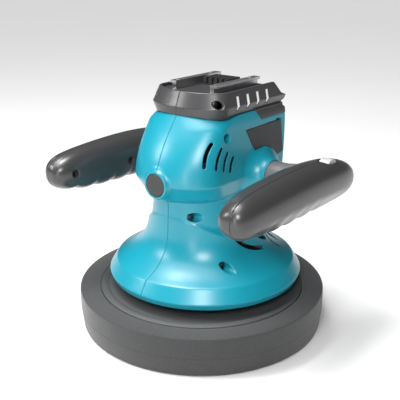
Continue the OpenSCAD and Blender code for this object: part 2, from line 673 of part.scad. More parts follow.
module motor_bracket() color([0.7, 0.7, 0.72]) difference() {
    union() {
        translate([0, 0, bracket_z]) cylinder(r = bracket_r, h = bracket_h);
        translate([0, 0, low_bearing_z - 1.5]) cylinder(d = bearing_d + 8, h = bearing_w + 1.5);
    }
    translate([0, 0, low_bearing_z]) cylinder(d = bearing_d, h = 20);
    translate([0, 0, low_bearing_z - 3]) cylinder(d = bearing_d - 2 * bearing_ring, h = 20);
    for (k = [0:5]) rotate([0, 0, 60 * k]) translate([bearing_d / 2 + 9, 0, bracket_z - 1])
        cylinder(d = 8, h = 20);
}
module bracket_screws() color("silver") for (k = [0:3]) rotate([0, 0, 45 + 90 * k])
    translate([bracket_screw_r + 6, 0, bracket_z + bracket_h]) cylinder(d = 6, h = 2.2);
module motor_end_cap() color([0.15, 0.15, 0.16]) difference() {
    union() {
        translate([0, 0, can_top]) cylinder(d = motor_d, h = 4);
        translate([0, 0, can_top]) cylinder(d = motor_d - 8, h = cap_h);
    }
    translate([0, 0, can_top - 1]) cylinder(r = comm_r + 5, h = top_bearing_z - can_top);
    translate([0, 0, can_top - 1]) cylinder(d = bearing_d - 2 * bearing_ring, h = 60);
    translate([0, 0, top_bearing_z]) cylinder(d = bearing_d, h = 20);
    for (side = [-1, 1]) translate([side * 25 - 14, -4.5, can_top - 1]) cube([28, 9, 8.5]);
}
brush_z = can_top + 0.5;
module brush_holders() color([0.8, 0.65, 0.3]) both_sides() difference() {
    translate([comm_r + 1.5, -4.4, brush_z]) cube([16, 8.8, 6.4]);
    translate([comm_r, -3.2, brush_z + 1.2]) cube([16, 6.4, 4]);
}
module carbon_brushes() color([0.1, 0.1, 0.1]) both_sides() difference() {
    translate([comm_r - 1, -3, brush_z + 1.3]) cube([8, 6, 3.8]);
    translate([0, 0, brush_z]) cylinder(r = comm_r + 0.15, h = 10);
}
spring_turns = 4;
spring_len = 8.2;
function coil_point(a, r) = [spring_len * a / (360 * spring_turns), r * cos(a), r * sin(a)];
module brush_springs() color("silver") both_sides() translate([comm_r + 7, 0, brush_z + 3.2])
    coil(1.5, 0.3, 6);
module coil(r, wire, sides) {
    steps = spring_turns * 12;
    points = [for (k = [0:steps], j = [0:sides - 1]) let (a = 30 * k, b = 360 * j / sides)
        coil_point(a, r + wire * cos(b)) + [wire * (1 + sin(b)), 0, 0]];
    walls = [for (k = [0:steps - 1], j = [0:sides - 1]) let (a = k * sides + j, b = k * sides + (j + 1) % sides)
        [a, b, b + sides, a + sides]];
    polyhedron(points, concat([[for (j = [sides - 1:-1:0]) j]], walls,
        [[for (j = [0:sides - 1]) steps * sides + j]]), convexity = 6);
}

// Fan, eccentric hub and counterweight
module cooling_fan() color([0.2, 0.2, 0.22]) {
    difference() {
        translate([0, 0, fan_z + fan_h - 1.6]) cylinder(d = fan_d, h = 1.6);
        translate([0, 0, fan_z - 1]) cylinder(d = shaft_d + 6, h = 20);
    }
    for (k = [0:fan_blades - 1]) rotate([0, 0, 360 / fan_blades * k])
        translate([18, -0.8, fan_z]) rotate([0, 0, -25]) cube([(fan_d / 2 - 17), 1.6, fan_h - 1]);
}
module fan_collar() color("silver") difference() {
    translate([0, 0, fan_z]) cylinder(d = shaft_d + 6, h = fan_h + 1.5);
    translate([0, 0, fan_z - 1]) cylinder(d = shaft_d, h = fan_h + 4);
}
hub_r = bearing_d / 2 + 4.5;
module at_pad_axis() translate([0, -orbit, 0]) children();
module eccentric_hub() color([0.6, 0.6, 0.62]) difference() {
    union() {
        at_pad_axis() translate([0, 0, hub_z]) cylinder(r = hub_r, h = hub_web_z + 3 - hub_z);
        translate([0, 0, hub_web_z]) cylinder(d = shaft_d + 12, h = hub_top - hub_web_z);
        translate([0, 0, weight_z + weight_h - 3]) cylinder(r = hub_r + 4, h = 3);
    }
    at_pad_axis() translate([0, 0, hub_z - 1]) cylinder(d = bearing_d, h = pad_bearing_top - hub_z + 1);
    at_pad_axis() translate([0, 0, hub_z]) cylinder(d = bearing_d - 2 * bearing_ring, h = hub_web_z - hub_z + 0.3);
    translate([0, 0, hub_web_z + 1]) cylinder(d = shaft_d, h = 30);
    for (a = weight_angles) rotate([0, 0, a]) translate([hub_r + 2 - 0.5, 0, weight_z]) cylinder(d = 2.4, h = 20);
}
weight_angles = [50, 90, 130];
module counterweight() color([0.45, 0.45, 0.47]) difference() {
    translate([0, 0, weight_z]) cylinder(r = weight_r, h = weight_h - 3);
    at_pad_axis() translate([0, 0, weight_z - 1]) cylinder(r = hub_r, h = 30);
    translate([-big / 2, -big + 2, weight_z - 1]) cube(big);
    for (a = weight_angles) rotate([0, 0, a]) translate([hub_r + 1.5, 0, weight_z - 1]) cylinder(d = 2.4, h = 20);
}
module counterweight_screws() color("silver") for (a = weight_angles) rotate([0, 0, a])
    translate([hub_r + 1.5, 0, weight_z + weight_h]) {
        cylinder(d = 4.4, h = 1.6);
        translate([0, 0, -7]) cylinder(d = 2.2, h = 7.2);
    }
module pad_bearing_outers() color("silver") at_pad_axis() for (k = [0:1])
    bearing_outer(pad_bearing_z + k * bearing_w);
module pad_bearing_inners() color("silver") at_pad_axis() for (k = [0:1])
    bearing_inner(pad_bearing_z + k * bearing_w);
module pad_bearing_balls() color("silver") at_pad_axis() for (k = [0:1])
    bearing_balls(pad_bearing_z + k * bearing_w);
module hub_retaining_ring() color("silver") at_pad_axis() translate([0, 0, hub_z]) difference() {
    cylinder(d = bearing_d, h = 1.8);
    translate([0, 0, -1]) cylinder(d = bearing_d - 4, h = 4);
}

// Spindle, backing plate and foam pad
module pad_spindle() color("silver") at_pad_axis() {
    translate([0, 0, plate_top]) cylinder(r = 24, h = spindle_flange_h);
    translate([0, 0, plate_top]) cylinder(d = shaft_d + 3, h = pad_bearing_z - plate_top);
    translate([0, 0, plate_top]) cylinder(d = shaft_d, h = pad_bearing_top - plate_top + 1.2);
}
module spindle_clip() color("silver") at_pad_axis() translate([0, 0, pad_bearing_top + 0.05]) difference() {
    cylinder(d = shaft_d + 5, h = 1);
    translate([0, 0, -1]) cylinder(d = shaft_d, h = 3);
}
plate_screw_r = 18;
module backing_plate() color([0.3, 0.3, 0.31]) at_pad_axis() difference() {
    translate([0, 0, plate_z]) cylinder(d = plate_d, h = plate_t);
    for (k = [0:5]) rotate([0, 0, 60 * k]) translate([plate_d / 4 + 6, 0, plate_z - 1]) cylinder(d = 14, h = 10);
}
module plate_screws() color("silver") at_pad_axis() for (k = [0:3]) rotate([0, 0, 90 * k])
    translate([plate_screw_r, 0, plate_top + spindle_flange_h]) {
        cylinder(d = 7, h = 2);
    }
module loop_layer() color([0.15, 0.15, 0.16]) at_pad_axis()
    translate([0, 0, plate_z - loop_t]) cylinder(d = plate_d - 1, h = loop_t);
module foam_upper() color([0.33, 0.33, 0.34]) at_pad_axis() difference() {
    translate([0, 0, foam_low_h]) cylinder(d = pad_d, h = pad_h - foam_low_h);
    translate([0, 0, plate_z - loop_t]) cylinder(d = plate_d + 0.8, h = 20);
}
module foam_lower() color([0.28, 0.28, 0.28]) at_pad_axis() cylinder(d = pad_d, h = foam_low_h);

housing_right();
housing_left();
collar_right();
collar_left();
battery_platform();
battery_rails();
terminal_block();
battery_terminals();
housing_screws();
collar_screws();
collar_strips();
platform_screws();
nose_cap();
label_plate_right();
label_plate_left();
right_grip_shell();
right_grip_cover();
left_grip_shell();
left_grip_cover();
right_neck();
neck_screws();
left_neck();
grip_screws();
switch_rocker();
switch_bezel();
switch_body();
switch_lead();
control_board();
board_posts();
motor_can();
motor_magnets();
motor_bracket();
bracket_screws();
motor_end_cap();
brush_holders();
carbon_brushes();
brush_springs();
motor_bearing_outers();
motor_bearing_inners();
motor_bearing_balls();
motor_shaft();
armature_core();
armature_windings();
commutator();
cooling_fan();
fan_collar();
eccentric_hub();
counterweight();
counterweight_screws();
pad_bearing_outers();
hub_retaining_ring();
pad_bearing_inners();
pad_bearing_balls();
pad_spindle();
spindle_clip();
backing_plate();
plate_screws();
loop_layer();
foam_upper();
foam_lower();
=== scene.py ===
import math

import bmesh
import bpy
import numpy as np
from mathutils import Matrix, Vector


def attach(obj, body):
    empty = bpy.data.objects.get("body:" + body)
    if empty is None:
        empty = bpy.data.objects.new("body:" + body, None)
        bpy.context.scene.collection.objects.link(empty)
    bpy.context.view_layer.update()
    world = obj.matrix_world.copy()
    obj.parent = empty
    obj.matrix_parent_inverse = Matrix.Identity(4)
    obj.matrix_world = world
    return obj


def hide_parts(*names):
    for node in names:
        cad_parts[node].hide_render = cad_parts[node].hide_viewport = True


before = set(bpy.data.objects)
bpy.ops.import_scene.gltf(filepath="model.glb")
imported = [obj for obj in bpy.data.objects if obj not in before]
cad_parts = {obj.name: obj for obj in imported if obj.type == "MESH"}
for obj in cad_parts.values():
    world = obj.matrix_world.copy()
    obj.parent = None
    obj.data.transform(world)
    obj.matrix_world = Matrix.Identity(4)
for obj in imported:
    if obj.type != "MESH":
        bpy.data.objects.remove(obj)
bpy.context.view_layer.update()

scene = bpy.context.scene
MM = 0.001
FAR = 1e9

# ---------------------------------------------------------------- camera, lights and world

turn, tilt = math.radians(38.52), math.radians(19.31)
camera = bpy.data.objects.new("camera", bpy.data.cameras.new("camera"))
camera.location = (0.42856, -0.54733, 0.37243)
camera.rotation_euler = (math.pi / 2 - tilt, 0, turn)
camera.data.sensor_width = 36
camera.data.lens = 62.96
camera.data.clip_start, camera.data.clip_end = 0.01, 200
scene.collection.objects.link(camera)
scene.camera = camera


def lamp(name, place, aim, size, power):
    light = bpy.data.lights.new(name, "AREA")
    light.shape, light.size, light.size_y = "RECTANGLE", size[0], size[1]
    light.energy = power
    holder = bpy.data.objects.new(name, light)
    holder.location = place
    holder.rotation_euler = (Vector(aim) - Vector(place)).to_track_quat("-Z", "Y").to_euler()
    scene.collection.objects.link(holder)


middle = (0, 0, 0.13)
lamp("key_softbox", (0.62, -0.92, 0.85), middle, (0.34, 0.4), 10)
lamp("low_strip", (0.35, -1.25, 0.3), middle, (0.12, 0.6), 2.5)
lamp("overhead_softbox", (-0.32, -0.15, 1.3), middle, (0.4, 0.4), 10)
lamp("front_left_softbox", (-0.85, -0.85, 0.8), middle, (0.3, 0.4), 6)

sky = bpy.data.lights.new("ceiling", "SUN")
sky.energy, sky.angle = 2.7, math.radians(50)
ceiling = bpy.data.objects.new("ceiling", sky)
ceiling.rotation_euler = (math.radians(12), math.radians(-10), 0)
scene.collection.objects.link(ceiling)

world = bpy.data.worlds.new("studio")
world.use_nodes = True
world.node_tree.nodes["Background"].inputs["Color"].default_value = (1, 1, 1, 1)
world.node_tree.nodes["Background"].inputs["Strength"].default_value = 0.06
scene.world = world
scene.view_settings.view_transform = "Standard"


# ---------------------------------------------------------------- shader expressions

class Shade:
    """A material's node tree under construction."""

    def __init__(self, name):
        self.material = bpy.data.materials.new(name)
        self.material.use_nodes = True
        self.tree = self.material.node_tree
        self.surface = self.tree.nodes["Principled BSDF"]

    def node(self, kind, settings=None, output=0, **sockets):
        made = self.tree.nodes.new("ShaderNode" + kind)
        for key, setting in (settings or {}).items():
            if key == "stops":
                ramp = made.color_ramp
                for k, (place, grey) in enumerate(setting):
                    stop = ramp.elements[k] if k < 2 else ramp.elements.new(place)
                    stop.position = place
                    stop.color = (grey, grey, grey, 1)
            else:
                setattr(made, key, setting)
        for key, given in sockets.items():
            socket = made.inputs[int(key[1:])] if key[1:].isdigit() else made.inputs[key.replace("_", " ")]
            self.feed(socket, given)
        return Value(self, made.outputs[output])

    def feed(self, socket, given):
        if isinstance(given, Value):
            self.tree.links.new(given.socket, socket)
        else:
            socket.default_value = given

    def place(self):
        return self.node("TexCoord", output="Object")

    def noise(self, scale, detail=2, roughness=0.5, at=None):
        return self.node("TexNoise", Vector=at or self.place(), Scale=scale, Detail=detail, Roughness=roughness)

    def mix(self, amount, first, second):
        return self.node("Mix", {"data_type": "RGBA"}, output=2, _0=amount, _6=first, _7=second)

    def set(self, **sockets):
        for key, given in sockets.items():
            self.feed(self.surface.inputs[key.replace("_", " ")], given)
        return self.material

    def bump(self, height, distance, strength=1.0):
        return self.node("Bump", Height=height, Distance=distance, Strength=strength)


class Value:
    """A socket that adds Math nodes when it is used in arithmetic."""

    def __init__(self, shade, socket):
        self.shade, self.socket = shade, socket

    def _sum(self, operation, first, second, clamp=False):
        return self.shade.node("Math", {"operation": operation, "use_clamp": clamp}, _0=first, _1=second)

    def __add__(self, other): return self._sum("ADD", self, other)
    def __radd__(self, other): return self._sum("ADD", other, self)
    def __sub__(self, other): return self._sum("SUBTRACT", self, other)
    def __rsub__(self, other): return self._sum("SUBTRACT", other, self)
    def __mul__(self, other): return self._sum("MULTIPLY", self, other)
    def __rmul__(self, other): return self._sum("MULTIPLY", other, self)
    def clear(self, low, high): return self._sum("MULTIPLY", (self - low), 1 / (high - low), True)


def tint(colour, factor):
    return (*[min(1, c * factor) for c in colour[:3]], 1)


def moulded(name, colour, roughness, grain=1800, relief=0.00002, coat=0.0, mottle=0.06, spread=0.06):
    """Injection-moulded plastic: faint colour drift, uneven gloss and a fine spark-eroded grain."""
    s = Shade(name)
    drift = s.noise(28, 3)
    handled = s.noise(9, 4, 0.6)
    fine = s.noise(grain, 2, 0.6)
    speck = s.noise(grain * 0.4, 3, 0.7)
    return s.set(
        Base_Color=s.mix(drift, tint(colour, 1 - mottle), tint(colour, 1 + mottle)),
        Roughness=roughness + (handled - 0.5) * spread * 2 + (speck - 0.5) * 0.04,
        Normal=s.bump(fine + speck * 0.5, relief),
        Coat_Weight=coat, Coat_Roughness=0.25, IOR=1.5)


def metal(name, colour, roughness, brushed=(1, 1, 1), scratches=600, relief=0.00001):
    """Ground or plated metal: drawn streaks, with a little staining."""
    s = Shade(name)
    stretched = s.node("Mapping", Vector=s.place(), Scale=brushed)
    streak = s.noise(scratches, 3, 0.65, stretched)
    stain = s.noise(60, 4, 0.6)
    return s.set(
        Base_Color=s.mix(stain, tint(colour, 0.85), tint(colour, 1.08)),
        Metallic=1.0,
        Roughness=roughness + (streak - 0.5) * 0.18 + (stain - 0.5) * 0.08,
        Normal=s.bump(streak, relief))


def foam(name, colour, cell):
    """Open-cell foam: pores over pores, with painted shade darkening their depths and a random cloudy tone, and a soft
    sheen off the struts.
    """
    s = Shade(name)
    pores = s.node("TexVoronoi", {"feature": "F1"}, Vector=s.place(), Scale=cell)
    small = s.node("TexVoronoi", {"feature": "F1"}, Vector=s.place(), Scale=cell * 2.3)
    cloud = s.noise(45, 4, 0.6)
    fuzz = s.noise(cell * 1.4, 3, 0.7)
    depth = pores * 0.6 + small * 0.4
    # painted shade: the colour darkens where the pores sink, mixed with random cloud and fuzz tone
    shade = (depth.clear(0.15, 0.75) * 0.5 + cloud * 0.35 + fuzz * 0.3)
    return s.set(
        Base_Color=s.mix(shade, tint(colour, 1.35), tint(colour, 0.6)),
        Roughness=0.88 + (fuzz - 0.5) * 0.15,
        Normal=s.bump(depth * -1 + fuzz * 0.4, 0.0005, 0.5),
        Sheen_Weight=0.25, Sheen_Roughness=0.5)


TEAL = (0.004, 0.255, 0.34)
finish = {
    "teal": moulded("teal_moulding", TEAL, 0.34, coat=0.25, mottle=0.03),
    "collar": moulded("collar_moulding", (0.045, 0.045, 0.047), 0.34, grain=1500, coat=0.2),
    "grip": moulded("grip_moulding", (0.04, 0.04, 0.041), 0.3, grain=1300, coat=0.3, spread=0.05),
    "neck": moulded("neck_moulding", (0.12, 0.122, 0.125), 0.38, grain=1300),
    "cap": moulded("cap_moulding", (0.035, 0.037, 0.036), 0.6, grain=900, relief=0.00006),
    "black": moulded("black_moulding", (0.022, 0.022, 0.024), 0.5),
    # painted highlight: near-white moulding for the wedges in the collar's grooves
    "groove_highlight_paint": moulded("painted_groove_highlight", (0.82, 0.82, 0.82), 0.3, mottle=0.02),
    "rocker": moulded("rocker_moulding", (0.42, 0.43, 0.44), 0.4),
    "plate": moulded("plate_moulding", (0.067, 0.07, 0.071), 0.6, grain=800, relief=0.00005, mottle=0.12),
    "lead": moulded("lead_sleeve", (0.02, 0.02, 0.021), 0.65),
    "steel": metal("zinc_plated_steel", (0.55, 0.55, 0.57), 0.38),
    "dark_steel": metal("blackened_steel", (0.09, 0.09, 0.095), 0.45),
    "rail": metal("pressed_rail_steel", (0.6, 0.6, 0.62), 0.34, brushed=(1, 0.05, 1)),
    "ground": metal("ground_bearing_steel", (0.65, 0.65, 0.67), 0.2, brushed=(1, 1, 8)),
    "cast": metal("die_cast_alloy", (0.6, 0.6, 0.62), 0.5, scratches=240, relief=0.00004),
    "iron": metal("cast_iron_weight", (0.2, 0.2, 0.21), 0.62, scratches=180, relief=0.00006),
    "can": metal("motor_can_steel", (0.5, 0.51, 0.53), 0.35, brushed=(1, 1, 12)),
    "brass": metal("brass_contact", (0.72, 0.52, 0.22), 0.3),
    "copper": metal("enamelled_copper", (0.62, 0.27, 0.11), 0.34, brushed=(1, 1, 6), scratches=900, relief=0.00012),
    "magnet": metal("sintered_magnet", (0.1, 0.1, 0.105), 0.55, scratches=300),
    "carbon": moulded("brush_carbon", (0.02, 0.02, 0.021), 0.55, grain=700, relief=0.00005),
    "foam_upper": foam("firm_foam", (0.044, 0.045, 0.046), 700),
    "foam_lower": foam("soft_foam", (0.043, 0.043, 0.044), 620),
}


def speckled_label():
    """Printed label film: dark ground with a fine lighter speckle fading along its length."""
    s = Shade("label_film")
    dots = s.noise(1400, 2, 0.8).clear(0.56, 0.66)
    fade = s.noise(30, 2).clear(0.35, 0.7)
    return s.set(
        Base_Color=s.mix(dots * fade * 0.6, (0.026, 0.028, 0.03, 1), (0.17, 0.18, 0.185, 1)),
        Roughness=0.45 + dots * 0.1,
        Normal=s.bump(dots, 0.00003))


def circuit_board():
    """Green solder mask with lighter copper lines under it."""
    s = Shade("circuit_board")
    lines = s.node("TexBrick", {"offset": 0.37}, Vector=s.place(), Scale=90.0, Mortar_Size=0.03, output=1)
    return s.set(
        Base_Color=s.mix(lines, (0.008, 0.1, 0.045, 1), (0.03, 0.2, 0.09, 1)),
        Roughness=0.35 + s.noise(200) * 0.1)


def hook_and_loop():
    """Nylon loops: a dense fuzz of short curls, with painted shade darkening the gaps between them."""
    s = Shade("hook_and_loop")
    curls = s.node("TexVoronoi", {"feature": "SMOOTH_F1"}, Vector=s.place(), Scale=900.0)
    fuzz = s.noise(1500, 4, 0.8)
    return s.set(
        # painted shade: darker where the curls sink, lighter on their tops
        Base_Color=s.mix(curls, (0.08, 0.08, 0.08, 1), (0.02, 0.02, 0.02, 1)),
        Roughness=0.9 + (fuzz - 0.5) * 0.1,
        Normal=s.bump(curls * -1 + fuzz, 0.0006, 0.7))


def pale_floor():
    s = Shade("pale_floor")
    return s.set(Base_Color=s.mix(s.noise(3, 2), (0.8, 0.8, 0.8, 1), (0.83, 0.83, 0.83, 1)), Roughness=0.75)


finish.update(label=speckled_label(), board=circuit_board(), loop=hook_and_loop())


# ---------------------------------------------------------------- shapes

def publish(name, mesh, look, body, nodes=()):
    made = bpy.data.objects.new(name, mesh)
    scene.collection.objects.link(made)
    mesh.materials.append(finish[look])
    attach(made, body)
    if nodes:
        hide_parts(*nodes)
    return made


def larger(a, b, soft):
    """The larger of two fields, with the corner between them rounded over about soft millimetres."""
    share = np.clip(0.5 + 0.5 * (a - b) / soft, 0, 1)
    return b + (a - b) * share + soft * share * (1 - share)


def smaller(a, b, soft):
    return -larger(-a, -b, soft)


def capsule(u, v, ends, radius):
    """Distance in a plane to a rounded line through the given points."""
    best = np.full(u.shape, FAR)
    for (u0, v0), (u1, v1) in zip(ends, ends[1:]):
        du, dv = u1 - u0, v1 - v0
        t = np.clip(((u - u0) * du + (v - v0) * dv) / (du * du + dv * dv), 0, 1)
        best = np.minimum(best, np.hypot(u - u0 - t * du, v - v0 - t * dv))
    return best - radius


def outline(u, v, corners):
    """Signed distance in a plane to a polygon, negative inside."""
    best = np.full(u.shape, FAR)
    inside = np.zeros(u.shape, bool)
    for (u0, v0), (u1, v1) in zip(corners, corners[1:] + corners[:1]):
        du, dv = u1 - u0, v1 - v0
        t = np.clip(((u - u0) * du + (v - v0) * dv) / (du * du + dv * dv), 0, 1)
        best = np.minimum(best, np.hypot(u - u0 - t * du, v - v0 - t * dv))
        crosses = (v0 > v) != (v1 > v)
        side = (u < (u1 - u0) * (v - v0) / ((v1 - v0) or 1e-9) + u0)
        inside ^= crosses & side
    return np.where(inside, -best, best)


CORNERS = np.array([(i, j, k) for i in (0, 1) for j in (0, 1) for k in (0, 1)])
EDGES = [(a, b) for a in range(8) for b in range(a + 1, 8) if np.abs(CORNERS[a] - CORNERS[b]).sum() == 1]


def skin(name, field, low, high, cell, mirror=False):
    """A closed mesh where the field, in millimetres, is zero, thinned out where it is flat, on the true surface."""
    low, high = np.array(low, float), np.array(high, float)
    step = 8
    blocks = np.ceil((high - low) / (cell * step)).astype(int)
    grid = np.stack(np.meshgrid(*[np.arange(n) for n in blocks], indexing="ij"), -1).reshape(-1, 3)
    centre = low + (grid + 0.5) * cell * step
    near = np.abs(field(*centre.T)) < cell * step * 1.4 + 1.5
    offsets = np.stack(np.meshgrid(*[np.arange(step + 1)] * 3, indexing="ij"), -1)
    points, keys, quads = [], [], []
    span = blocks * step + 4
    for start in grid[near]:
        base = start * step
        at = low + (base + offsets) * cell
        f = field(at[..., 0].ravel(), at[..., 1].ravel(), at[..., 2].ravel()).reshape(offsets.shape[:3])
        solid = f < 0
        if solid.all() or not solid.any():
            continue
        corner = [f[i:i + step, j:j + step, k:k + step] for i, j, k in CORNERS]
        total = np.zeros((step,) * 3 + (3,))
        count = np.zeros((step,) * 3)
        for a, b in EDGES:
            fa, fb = corner[a], corner[b]
            cross = (fa < 0) != (fb < 0)
            t = np.where(cross, fa / np.where(cross, fa - fb, 1), 0)[..., None]
            total += cross[..., None] * (CORNERS[a] + t * (CORNERS[b] - CORNERS[a]))
            count += cross
        live = np.argwhere(count > 0)
        where = base + live + total[tuple(live.T)] / count[tuple(live.T)][:, None]
        points.append(low + where * cell)
        index = base + live
        keys.append((index[:, 0] * span[1] + index[:, 1]) * span[2] + index[:, 2])
        for axis in range(3):
            near_end = solid[:step, :step, :step]
            far_end = [solid[1:, :step, :step], solid[:step, 1:, :step], solid[:step, :step, 1:]][axis]
            flips = np.argwhere(near_end != far_end)
            if not len(flips):
                continue
            u, v = np.eye(3, dtype=int)[(axis + 1) % 3], np.eye(3, dtype=int)[(axis + 2) % 3]
            here = base + flips
            ring = [here, here - u, here - u - v, here - v]
            number = np.stack([(c[:, 0] * span[1] + c[:, 1]) * span[2] + c[:, 2] for c in ring], -1)
            outward = near_end[tuple(flips.T)]
            number[~outward] = number[~outward][:, ::-1]
            quads.append(number)
    points, keys, quads = np.concatenate(points), np.concatenate(keys), np.concatenate(quads)
    order = np.argsort(keys)
    points, keys = points[order], keys[order]
    faces = np.searchsorted(keys, quads)
    sound = (keys[np.minimum(faces, len(keys) - 1)] == quads).all(1)
    faces = faces[sound]
    points = settled(field, points, 0.7 * cell, 4)
    if 2 * len(faces) > MOST_TRIANGLES:
        points, faces = thinned(points, faces)
        points = settled(field, points, 0.4 * cell, 2)
    normals = gradient(field, points, 0.15)
    normals /= np.maximum(np.linalg.norm(normals, axis=1), 1e-6)[:, None]
    if mirror:
        points[:, 0] *= -1
        normals[:, 0] *= -1
        faces = faces[:, ::-1]
    mesh = plain_mesh(name, points * MM, faces)
    mesh.polygons.foreach_set("use_smooth", np.ones(len(faces), bool))
    mesh.normals_split_custom_set_from_vertices([tuple(n) for n in normals.tolist()])
    return mesh


MOST_TRIANGLES = 190000


def plain_mesh(name, points, faces):
    mesh = bpy.data.meshes.new(name)
    mesh.vertices.add(len(points))
    mesh.vertices.foreach_set("co", points.astype(np.float32).ravel())
    mesh.loops.add(faces.size)
    mesh.loops.foreach_set("vertex_index", faces.astype(np.int32).ravel())
    mesh.polygons.add(len(faces))
    mesh.polygons.foreach_set("loop_start", np.arange(0, faces.size, faces.shape[1], dtype=np.int32))
    mesh.update(calc_edges=True)
    return mesh


def settled(field, points, reach, rounds):
    """Moves points onto the surface, each by no more than reach."""
    start = points.copy()
    for _ in range(rounds):
        slope = gradient(field, points, 0.08)
        points = points - slope * (field(*points.T) / np.maximum((slope ** 2).sum(1), 0.05))[:, None]
        points = start + np.clip(points - start, -reach, reach)
    return points


def thinned(points, faces):
    """Merges faces where the surface is flat, down to the most triangles that a piece may have."""
    mesh = plain_mesh("dense", points, faces)
    holder = bpy.data.objects.new("dense", mesh)
    scene.collection.objects.link(holder)
    thin = holder.modifiers.new("thin", "DECIMATE")
    thin.ratio = MOST_TRIANGLES / (2 * len(faces))
    less = holder.evaluated_get(bpy.context.evaluated_depsgraph_get()).to_mesh()
    less.calc_loop_triangles()
    spots, corners = np.empty(len(less.vertices) * 3, np.float32), np.empty(len(less.loop_triangles) * 3, np.int32)
    less.vertices.foreach_get("co", spots)
    less.loop_triangles.foreach_get("vertices", corners)
    bpy.data.objects.remove(holder)
    bpy.data.meshes.remove(mesh)
    return spots.reshape(-1, 3).astype(float), corners.reshape(-1, 3)


def gradient(field, points, h):
    x, y, z = points.T
    return np.stack([field(x + h, y, z) - field(x - h, y, z), field(x, y + h, z) - field(x, y - h, z),
                     field(x, y, z + h) - field(x, y, z - h)], -1) / (2 * h)


# ---------------------------------------------------------------- housing

WALL = 3.0
BODY_W, BODY_FRONT, BODY_BACK, LEAN = 102.4, 76.3, 70.5, math.radians(4.9)
CREASE_Z, BODY_TOP, BELL_NECK = 164.5, 226.5, 57.5
SKIRT_Z, SKIRT_R = 52.0, 102.3
TOP_FRONT = BODY_FRONT - 30
GRIP_X, GRIP_Y, GRIP_Z, GRIP_LEN, GRIP_W, GRIP_H = 110.0, -6.5, 161.5, 214.0, 42.0, 49.0
NECK_Y, NECK_R = 26.0, 16.0
NOSE_Z = 164.8
BELL_FALL = 14.3
LABEL = [(4, 210.5), (68, 211), (69.5, 177), (58, 175), (47, 184), (35, 188.5), (17, 187.5)]


def body_plan(z):
    t = (BODY_TOP - z) / (BODY_TOP - CREASE_Z)
    shoulder = max(0, 1 - t / 0.16) ** 1.5
    return [BODY_W / 2 - (z - CREASE_Z) * math.tan(LEAN) - 1.2 * shoulder, 26 + 12 * t + 15 * shoulder,
            TOP_FRONT + 30 * math.sin(math.pi / 2 * t), BODY_BACK + 8.5 * math.sin(math.pi / 2 * (1 - t))]


def parting(x, y):
    """Height where the collar meets the body: higher over the nose, lower at its shoulders."""
    rise = 1.4 * np.clip(-(y + 36) / 9, 0, 1)
    return BODY_TOP + rise - 2.6 * np.exp(-((y + 24) / 13) ** 2) * np.clip((np.abs(x) - 24) / 12, 0, 1)


def eased(heights, plans, soften):
    """Plan sizes on a fine scale of heights, with the creases between them rounded a little."""
    scale = np.arange(heights[0] - 10, heights[-1] + 12, 0.25)
    weights = np.exp(-0.5 * (np.arange(-12, 13) * 0.25 / soften) ** 2)
    weights /= weights.sum()
    columns = []
    for column in np.array(plans).T:
        raw = np.interp(scale, heights, column)
        columns.append(np.convolve(np.pad(raw, 12, "edge"), weights, "valid"))
    return scale, columns


body_heights = [104, 145, 150] + list(np.linspace(CREASE_Z, BODY_TOP + 4, 67))
body_plans = [[BELL_NECK - 3, 54, BELL_NECK + 2, BODY_BACK - 13], [BODY_W / 2 - 8.7, 46, BELL_NECK + 2, BODY_BACK - 15],
              [BODY_W / 2 - 5.2, 37, BODY_FRONT - 9.5, BODY_BACK - 8]] + [body_plan(z) for z in body_heights[3:]]
BODY_TABLE = eased(body_heights, body_plans, 0.8)


def plan_field(x, y, z, table, corner):
    """How far a point lies outside a plan with an elliptical nose, flat sides and rounded rear corners."""
    scale, (half, depth, front, back) = table
    w, d, fr, bk = (np.interp(z, scale, c) for c in (half, depth, front, back))
    ax = np.abs(x)
    nose = y + fr - d
    u = np.hypot(ax / w, nose / d)
    pull = np.hypot(ax / w ** 2, nose / d ** 2)
    ellipse = (u - 1) * u / np.maximum(pull, 1e-4)
    qx, qy = ax - (w - corner), y - (bk - corner)
    box = np.hypot(np.maximum(qx, 0), np.maximum(qy, 0)) + np.minimum(np.maximum(qx, qy), 0) - corner
    return np.where(nose < 0, ellipse, box)


bell_z, bell_r = SKIRT_Z + 19.5, SKIRT_R - 8.6
bell_scale = np.arange(30, 150, 0.25)
bell_line = np.interp(bell_scale, [30, SKIRT_Z, SKIRT_Z + 5.9, bell_z], [SKIRT_R - 1.9, SKIRT_R - 1.9, SKIRT_R, bell_r])
bell_flare = BELL_NECK + (bell_r - BELL_NECK) * np.exp(-(bell_scale - bell_z) / BELL_FALL)
bell_line = np.where(bell_scale > bell_z, bell_flare, bell_line)
soft_kernel = np.exp(-0.5 * (np.arange(-8, 9) * 0.25 / 0.6) ** 2)
bell_line = np.convolve(np.pad(bell_line, 8, "edge"), soft_kernel / soft_kernel.sum(), "valid")
bell_slope = np.gradient(bell_line, bell_scale)

SCREWS = [(-27, 208, 38), (62, 208, 38), (-50, 130, 20), (44, 130, 20), (-42, 83, 52), (60, 83, 34)]


def side_face(ax, z):
    """How far a point lies outside the body's leaning flat side."""
    return (ax - (BODY_W / 2 - (z - CREASE_Z) * math.tan(LEAN))) * math.cos(LEAN)


def nose_slot(k):
    """A cooling slot on the nose, as points [y, z] along its bowed middle line."""
    lean, reach, bow = math.radians(-28 + k), 25.2 - 3.5 * k, 1.7 - 0.25 * k
    line = []
    for s in np.linspace(0, 1, 9):
        across, along = -bow * 4 * s * (1 - s) + 0.5, 1.4 + (reach - 1.8) * s
        line.append((-57 + 10.4 * k + math.cos(lean) * across - math.sin(lean) * along,
                     184 - 3 * k + math.sin(lean) * across + math.cos(lean) * along))
    return line


NOSE_SLOTS = [nose_slot(k) for k in range(4)]


